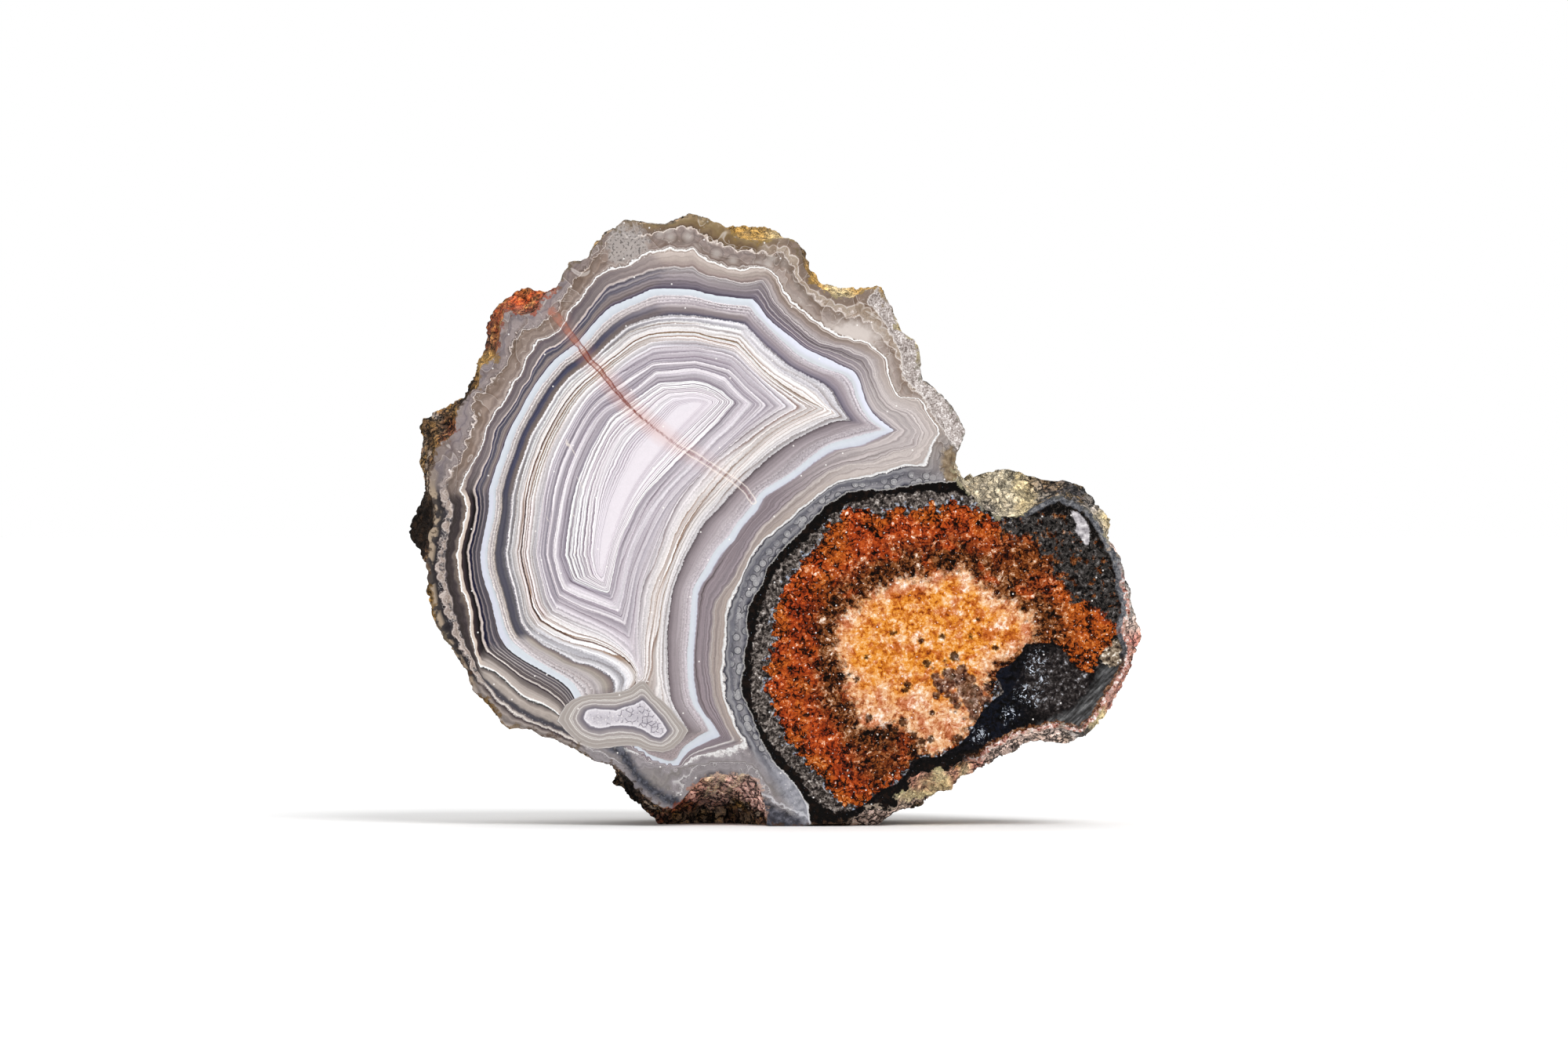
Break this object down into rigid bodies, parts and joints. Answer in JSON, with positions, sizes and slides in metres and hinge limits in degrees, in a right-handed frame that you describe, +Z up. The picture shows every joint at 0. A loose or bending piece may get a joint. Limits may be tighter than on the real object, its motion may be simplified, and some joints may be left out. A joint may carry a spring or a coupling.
{
  "type": "banded agate half nodule",
  "caption": "Polished half of a two-lobed banded agate nodule: flat in front, rough and knobby behind, standing on a small flat foot.",
  "frame": {"origin": "a point of the flat foot, under the middle of the stone's width and 13 mm behind the polished face", "axes": "+X to the right along the stone's width as the polished face is looked at, +Y from the polished face to the rough back, +Z up"},
  "size_m": [0.0945, 0.0358, 0.0783],
  "materials": {
    "agate": "polished"
  },
  "bodies": {
    "root": {"agate_half": "agate"}
  },
  "joints": []
}
